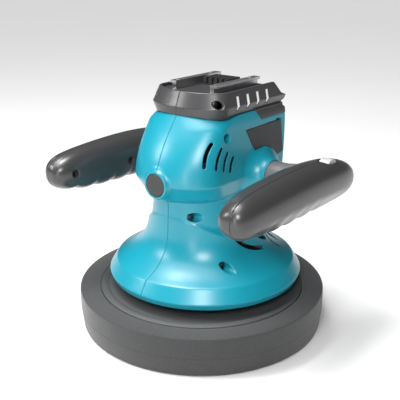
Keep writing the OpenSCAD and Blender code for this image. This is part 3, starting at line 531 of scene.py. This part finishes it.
def on_bell(radius, angle):
    """The point of the flared base at a radius and an angle in degrees from the front."""
    a = math.radians(angle)
    z = bell_z - BELL_FALL * math.log((radius - BELL_NECK) / (bell_r - BELL_NECK))
    return np.array([radius * math.sin(a), -radius * math.cos(a), z])


BELL_SLOTS = [[on_bell(60 + 7.5 * s + 0.8 * math.sin(math.pi * s), 67 + 31.5 * s) for s in np.linspace(0, 1, 7)],
              [on_bell(60 + 5 * s, 90 + 22 * s) for s in np.linspace(0, 1, 5)],
              [on_bell(65 + 14 * s, 120 + 5 * s) for s in np.linspace(0, 1, 5)]]


def bell_slot(x, y, z, line, radius):
    """A slot along a line on the bell, cut square to its surface."""
    best = np.full(x.shape, FAR)
    for a, b in zip(line, line[1:]):
        mid = (a + b) / 2
        out = np.array([mid[0], mid[1], np.hypot(mid[0], mid[1]) * 0.45])
        out /= np.linalg.norm(out)
        run = b - a
        t = np.clip(((x - a[0]) * run[0] + (y - a[1]) * run[1] + (z - a[2]) * run[2]) / (run @ run), 0, 1)
        d = [x - a[0] - t * run[0], y - a[1] - t * run[1], z - a[2] - t * run[2]]
        lift = d[0] * out[0] + d[1] * out[1] + d[2] * out[2]
        flat = np.sqrt(sum((d[i] - lift * out[i]) ** 2 for i in range(3)))
        best = np.minimum(best, np.maximum(flat - radius, np.abs(lift) - 9))
    return best


TAB = [(23, BODY_TOP + 1), (32, BODY_TOP - 10), (BODY_BACK + 15.5, BODY_TOP - 10), (BODY_BACK + 15.5, BODY_TOP + 1)]


def housing_field(screwed):
    def field(x, y, z):
        ax = np.abs(x)
        body = np.maximum(plan_field(x, y, z, BODY_TABLE, 4.0), 104 - z)
        radius = np.hypot(x, y)
        slope = np.interp(z, bell_scale, bell_slope)
        bell = (radius - np.interp(z, bell_scale, bell_line)) / np.sqrt(1 + slope ** 2)
        ramp = np.where(ax < 28, 125.5 - (ax - 10) * 3.5 / 18, 122 - (ax - 28) * 48.5 / 102)
        roof = z - np.where(ax < 10, 125.5, ramp)
        roof = roof * 0.92
        flared = larger(bell, roof, 1.6)
        outer = smaller(body, flared, 3.5)
        along = np.clip((ax - 48) / 17.2, 0, 1)
        boss = np.hypot(y - NECK_Y - 4 * (1 - along), z - GRIP_Z + 1 * (1 - along))
        boss = boss - (NECK_R + 1.4 + 15.5 * (1 - along) ** 1.7)
        boss = np.maximum(larger(boss, ax - 66.2, 1.0), 40 - ax)
        outer = smaller(outer, boss, 5.0)
        reach = y + BODY_FRONT + 2
        nose = np.hypot(x, z - NOSE_Z)
        nose_r = np.interp(reach, [0, 4, 22], [13.5, 15.2, 21.5])
        outer = smaller(outer, larger((nose - nose_r) * 0.95, np.maximum(-reach, reach - 22), 0.8), 3.0)
        outer = larger(larger(outer, SKIRT_Z - z, 1.0), z - parting(x, y), 0.4)
        void = np.minimum(plan_field(x, y, z, BODY_TABLE, 1.5) + WALL, np.maximum(bell + WALL, roof + WALL))
        for (sy, sz, seat) in SCREWS if screwed else []:
            void = np.maximum(void, -np.maximum(np.hypot(y - sy, z - sz) - 6.6, seat - 4 - x))
        solid = larger(outer, -void, 0.5)
        for (sy, sz, seat) in SCREWS if screwed else []:
            solid = larger(solid, -np.maximum(np.hypot(y - sy, z - sz) - 4.7, seat - x), 0.8)
        solid = larger(solid, -np.maximum(np.hypot(y - NECK_Y, z - GRIP_Z) - NECK_R - 0.15, 20 - ax), 0.6)
        deep = np.clip(-body, 0, 9)
        slot = np.full(x.shape, FAR)
        for k, line in enumerate(NOSE_SLOTS):
            slot = np.minimum(slot, capsule(y - 0.75 * deep, z + 0.2 * deep, line, 1.2 + 0.22 * k))
        solid = larger(solid, -np.maximum(slot, 25 - ax), 0.45)
        slot = np.full(x.shape, FAR)
        for line, radius in zip(BELL_SLOTS, (2.4, 2.1, 1.7)):
            slot = np.minimum(slot, bell_slot(ax, y, z, line, radius))
        solid = larger(solid, -slot, 0.6)
        solid = larger(solid, -np.maximum(outline(y, z, LABEL), -1.2 - side_face(ax, z)), 0.35)
        solid = larger(solid, -larger(nose - 11.6, reach - 3, 0.2), 0.5)
        box = np.maximum(ax - (BODY_W / 2 - 12), np.abs(y) - (BODY_BACK + 1.5))
        solid = larger(solid, -np.maximum(outline(y, z, TAB) - 0.1, -box), 0.3)
        return larger(solid, 0.08 - x, 0.75)
    return field


housing_box = [(-1, -103.5, 50), (103.5, 103.5, 228)]
publish("housing_right_shell", skin("housing_right_shell", housing_field(True), *housing_box, 0.8),
        "teal", "housing", ["housing_right"])
publish("housing_left_shell", skin("housing_left_shell", housing_field(False), *housing_box, 0.8, mirror=True),
        "teal", "housing", ["housing_left"])


def label_field(x, y, z):
    face = side_face(x, z)
    return larger(outline(y, z, LABEL) + 0.3, np.maximum(face + 0.05, -1.25 - face), 0.5)


for side, word in ((1, "right"), (-1, "left")):
    name = f"label_plate_{word}"
    publish(name + "_film", skin(name, label_field, (44, 2, 173), (52, 71, 213), 0.5, mirror=side < 0),
            "label", "housing", [name])


# ---------------------------------------------------------------- collar

BELT_Z, RIM_Z = BODY_TOP + 9, 250.0
GROOVES, GROOVE_Y, GROOVE_PITCH = 4, -8.5, 16.7
BACK_Y = BODY_BACK + 10.5
w_top = BODY_W / 2 - (BODY_TOP - CREASE_Z) * math.tan(LEAN)
COLLAR_TABLE = eased([BODY_TOP - 5, BODY_TOP, BELT_Z, BELT_Z + 0.01, RIM_Z],
                     [[w_top - 5, 33, TOP_FRONT + 0.4, BODY_BACK + 8],
                      [w_top - 3.2, 28, TOP_FRONT, BODY_BACK + 8.5],
                      [w_top, 23, TOP_FRONT - 0.3, BACK_Y],
                      [w_top, 23, TOP_FRONT - 0.3, BACK_Y],
                      [w_top - 3, 25, TOP_FRONT - 6.7, BACK_Y]], 0.45)
REAR_SLOPE = [(58.7, 251), (70, 238), (78.5, 235), (81.1, 230), (100, 230), (100, 251)]
COLLAR_SCREWS = [(-31, 239.5), (77, 226)]


def lean_in(z):
    """How far the collar's side has drawn in from its belt at a height."""
    return np.maximum(0, z - BELT_Z) * 3 / (RIM_Z - BELT_Z)


def groove_highlight_field(x, y, z):
    """Painted highlight: near-white wedges let into the collar's grooves, standing in for the light caught on the
    grooves' sloping walls.
    """
    ax = np.abs(x)
    across = ax - w_top + lean_in(z)
    wedge = [(-2.52, 0.08), (-1.6, 0.08), (1, 5.08), (0.08, 5.08)]
    best = np.full(x.shape, FAR)
    for k in range(GROOVES):
        best = np.minimum(best, outline(across, y - GROOVE_Y - GROOVE_PITCH * k, wedge))
    solid = larger(best, np.abs(z - BELT_Z - 2.9) - 6.4, 0.25)
    return larger(solid, plan_field(x, y, z, COLLAR_TABLE, 4.0) + 0.25, 0.25)


def collar_field(x, y, z):
    ax = np.abs(x)
    form = plan_field(x, y, z, COLLAR_TABLE, 4.0)
    solid = larger(larger(form, z - RIM_Z, 0.8), parting(x, y) + 0.05 - z, 0.5)
    pocket = np.maximum(form + WALL, np.maximum(BODY_TOP + 3 - z, y - BACK_Y + 10))
    solid = larger(solid, -pocket, 0.5)
    solid = larger(solid, -np.maximum(np.maximum(ax - 19, np.abs(y - 8) - 40), z - 240), 0.5)
    cheek = plan_field(x, y, np.minimum(z, BODY_TOP - 0.3), BODY_TABLE, 4.0)
    room = np.maximum(ax - (BODY_W / 2 - 11.7), np.abs(y) - (BACK_Y - 8.7))
    tab = larger(larger(cheek - 0.4, outline(y, z, TAB), 0.6), -room, 0.4)
    solid = smaller(solid, np.maximum(tab, z - BODY_TOP - 1.5), 0.6)
    solid = larger(solid, -outline(y, z, REAR_SLOPE), 0.9)
    for k in range(GROOVES):
        depth = outline(ax - w_top + lean_in(z), y - GROOVE_Y - GROOVE_PITCH * k, [(-2.6, 0), (4, 0), (4, 12.7)])
        solid = larger(solid, -np.maximum(depth, np.abs(z - BELT_Z - 2.75) - 6.75), 0.3)
    for sy, sz in COLLAR_SCREWS:
        solid = larger(solid, -np.maximum(np.hypot(y - sy, z - sz) - 3.9, 34 - ax), 0.7)
    return larger(solid, 0.06 - x, 0.6)


for side, word in ((1, "right"), (-1, "left")):
    name = f"collar_{word}"
    publish(name + "_rim", skin(name, collar_field, (-1, -48, 215), (48, 83, 252), 0.6, mirror=side < 0),
            "collar", "housing", [name])


# painted highlight: pale wedges in the collar's grooves stand in for the light on their sloping walls
publish("collar_painted_groove_highlights", skin("collar_painted_groove_highlights", groove_highlight_field, (-47, -10, 230), (47, 48, 246), 0.42),
        "groove_highlight_paint", "housing", ["collar_strips"])


# ---------------------------------------------------------------- handles

GRIP_SCREWS = [(-94, GRIP_Z + 1), (-18, GRIP_Z - 1), (76, GRIP_Z - 4)]
SWITCH_Y = 51.0


LOBE_START, LOBE_PITCH, LOBES = -100, 24.5, 5


def lobe(y):
    """Depth of the finger grooves under a handle."""
    wave = (y - LOBE_START) / LOBE_PITCH
    return np.where((wave < 0) | (wave > LOBES), 0, 2.2 * (1 - np.abs(np.cos(math.pi * wave)) ** 0.85))


def grip_bar(dx, y, z):
    t = (y - GRIP_Y) / (GRIP_LEN / 2)
    w = GRIP_W / 2 * (1 - 0.18 * t * t)
    h = GRIP_H / 2 * (1 - 0.27 * t * t)
    dz = z - (GRIP_Z - 7 * np.maximum(0, t) ** 2)
    h = np.where(dz < 0, h - lobe(y), h)
    u = ((np.abs(dx) / w) ** 2.326 + (np.abs(dz) / h) ** 2.174) ** (1 / 2.25)
    square = np.where(t < 0, 8 + 5 * np.clip((dx + 4) / 16, 0, 1), 6.6)
    return (u ** 2.6 + np.abs(t) ** square) ** 0.3 - 1


def grip_form(dx, y, z):
    h = 0.3
    value = grip_bar(dx, y, z)
    gx = (grip_bar(dx + h, y, z) - value) / h
    gy = (grip_bar(dx, y + h, z) - value) / h
    gz = (grip_bar(dx, y, z + h) - value) / h
    bar = value / np.maximum(np.sqrt(gx ** 2 + gy ** 2 + gz ** 2), 0.004)
    t = (y - GRIP_Y) / (GRIP_LEN / 2)
    dz = z - (GRIP_Z - 7 * np.maximum(0, t) ** 2)
    ripple = 0.45 * np.sin(math.pi * (y - LOBE_START) / LOBE_PITCH) ** 2 * (np.abs(y + 38.75) < 61.25)
    facet = dx * 0.80 - dz * 0.60 - (20.8 - 3.2 * t * t + 6 * t ** 8 - ripple)
    return larger(bar, facet, 1.6)


def grip_field(part, switched):
    def field(x, y, z):
        dx = x - GRIP_X
        solid = grip_form(dx, y, z)
        if switched:
            oval = (np.hypot((dx - 3) / 8.6, (y - SWITCH_Y) / 15.6) - 1) * 9.5
            solid = larger(solid, -np.maximum(oval, 167 - z), 0.9)
        if part == "shell":
            return larger(solid, 4.06 - dx, 0.7)
        for sy, sz in GRIP_SCREWS:
            solid = larger(solid, -np.maximum(np.hypot(y - sy, z - sz) - 3.9, dx + 10), 0.8)
        return larger(solid, dx - 3.94, 0.7)
    return field


for side, word in ((1, "right"), (-1, "left")):
    for part, reach in (("shell", (113, 133)), ("cover", (87, 115))):
        name = f"{word}_grip_{part}"
        mesh = skin(name, grip_field(part, side > 0), (reach[0], -116, 132),
         (reach[1], 103, 189), 0.8, mirror=side < 0)
        publish(name + "_moulding", mesh, "grip", "housing", [name])


# ---------------------------------------------------------------- turned pieces

def rounded(corners, radius, steps=4):
    """A closed profile with each corner rounded; a corner may give its own radius as a third number."""
    line = []
    for k, corner in enumerate(corners):
        here = Vector(corner[:2])
        r = corner[2] if len(corner) > 2 else radius
        before, after = Vector(corners[k - 1][:2]) - here, Vector(corners[(k + 1) % len(corners)][:2]) - here
        r = min(r, before.length * 0.45, after.length * 0.45)
        if r < 1e-6 or here.x < 1e-6:
            line.append(here)
            continue
        a, b = here + before.normalized() * r, here + after.normalized() * r
        for i in range(steps + 1):
            s = i / steps
            line.append(a * (1 - s) ** 2 + here * 2 * s * (1 - s) + b * s * s)
    return line


def turned(name, profile, segments, axis="Z", centre=(0, 0, 0)):
    """A closed profile of [radius, height] turned about an axis."""
    build = bmesh.new()
    rings = []
    for p in profile:
        if p.x < 1e-6:
            rings.append([build.verts.new((0, 0, p.y * MM))] * segments)
        else:
            rings.append([build.verts.new((p.x * MM * math.cos(2 * math.pi * k / segments),
                                           p.x * MM * math.sin(2 * math.pi * k / segments), p.y * MM))
                          for k in range(segments)])
    for a, b in zip(rings, rings[1:] + rings[:1]):
        for k in range(segments):
            j = (k + 1) % segments
            corners = list(dict.fromkeys([a[k], a[j], b[j], b[k]]))
            if len(corners) > 2:
                build.faces.new(corners)
    bmesh.ops.recalc_face_normals(build, faces=build.faces)
    for face in build.faces:
        face.smooth = True
    for v in build.verts:
        x, y, z = v.co
        if axis == "X":
            v.co = (z, x, y)
        elif axis == "Y":
            v.co = (x, z, y)
        v.co += Vector(centre) * MM
    if axis == "Y":
        bmesh.ops.reverse_faces(build, faces=build.faces)
    mesh = bpy.data.meshes.new(name)
    build.to_mesh(mesh)
    build.free()
    mesh.set_sharp_from_angle(angle=math.radians(40))
    return mesh


PAD = (0, -6, 0)
publish("pad_upper_layer", turned("pad_upper_layer", rounded(
    [(0, 20.15), (126.5, 20.15, 0.4), (130.3, 20.1, 0.15), (130.3, 38.5, 0.6), (130.0, 40.5, 1.6),
     (109.2, 40.5, 0.8), (108.8, 37.0, 0.3), (0, 37.0)], 0.6),
    256, centre=PAD), "foam_upper", "pad", ["foam_upper"])
publish("pad_lower_layer", turned("pad_lower_layer", rounded(
    [(0, 0), (126.5, 0, 1.6), (128.0, 1.2, 2.2), (130.2, 19.0, 0.8), (130.25, 20.0, 0.15), (126.0, 20.0, 0.4),
     (0, 20.0)], 0.6),
    256, centre=PAD), "foam_lower", "pad", ["foam_lower"])
publish("backing_disc", turned("backing_disc", rounded(
    [(20, 38.5), (108.3, 38.5, 0.6), (108.5, 41.0, 1.4), (104.5, 42.0, 0.9), (101.5, 41.7, 0.6),
     (99.5, 40.9, 0.6), (60, 40.9, 0.4), (56, 42, 0.4), (20, 42, 0.3)], 0.5),
    256, centre=PAD), "plate", "pad", ["backing_plate"])
cap = rounded([(0, 3.2), (10.4, 3.2, 0.4), (11.5, 2.5, 0.6), (11.5, 0.2, 0.2), (4.3, 0, 0.2), (4.3, -5.8, 0.4),
               (0, -6)], 0.3)
publish("nose_cap_disc", turned("nose_cap_disc", [Vector((p.x, -p.y)) for p in cap], 96, "Y",
        (0, -BODY_FRONT + 1.0, NOSE_Z)), "cap", "housing", ["nose_cap"])
for side, word in ((1, "right"), (-1, "left")):
    name = f"{word}_neck"
    tube = rounded([(12.5, 36.4), (22, 36.4, 0.6), (22, 39.0, 0.6), (16, 39.2, 1.2), (16, 82, 8),
                    (17.4, 90.5, 1.0), (17.4, 93, 0.5),
                    (16, 94, 0.5), (16, 100, 0.6), (12.5, 100)], 0.5)
    mesh = turned(name, [Vector((p.x, side * p.y)) for p in tube], 96, "X", (0, NECK_Y, GRIP_Z))
    publish(name + "_tube", mesh, "neck", "housing", [name])


# ---------------------------------------------------------------- pieces that keep their frame shape

KEPT = {
    "collar": "battery_platform board_posts",
    "rail": "battery_rails",
    "black": "terminal_block switch_bezel switch_body motor_end_cap cooling_fan",
    "brass": "battery_terminals brush_holders",
    "dark_steel": "housing_screws collar_screws grip_screws",
    "steel": "platform_screws neck_screws bracket_screws counterweight_screws plate_screws spindle_clip "
             "hub_retaining_ring brush_springs fan_collar",
    "ground": "motor_bearing_outers motor_bearing_inners motor_bearing_balls pad_bearing_outers "
              "pad_bearing_inners pad_bearing_balls motor_shaft pad_spindle",
    "rocker": "switch_rocker",
    "lead": "switch_lead",
    "board": "control_board",
    "can": "motor_can armature_core",
    "magnet": "motor_magnets",
    "cast": "motor_bracket eccentric_hub",
    "copper": "armature_windings commutator",
    "carbon": "carbon_brushes",
    "iron": "counterweight",
    "loop": "loop_layer",
}
for look, names in KEPT.items():
    for name in names.split():
        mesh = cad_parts[name].data
        mesh.materials.clear()
        mesh.materials.append(finish[look])

# ---------------------------------------------------------------- floor

build = bmesh.new()
bmesh.ops.create_circle(build, cap_ends=True, radius=40, segments=128)
floor_mesh = bpy.data.meshes.new("floor")
build.to_mesh(floor_mesh)
build.free()
floor_mesh.materials.append(pale_floor())
floor = bpy.data.objects.new("floor", floor_mesh)
floor.location.z = -0.0002
scene.collection.objects.link(floor)
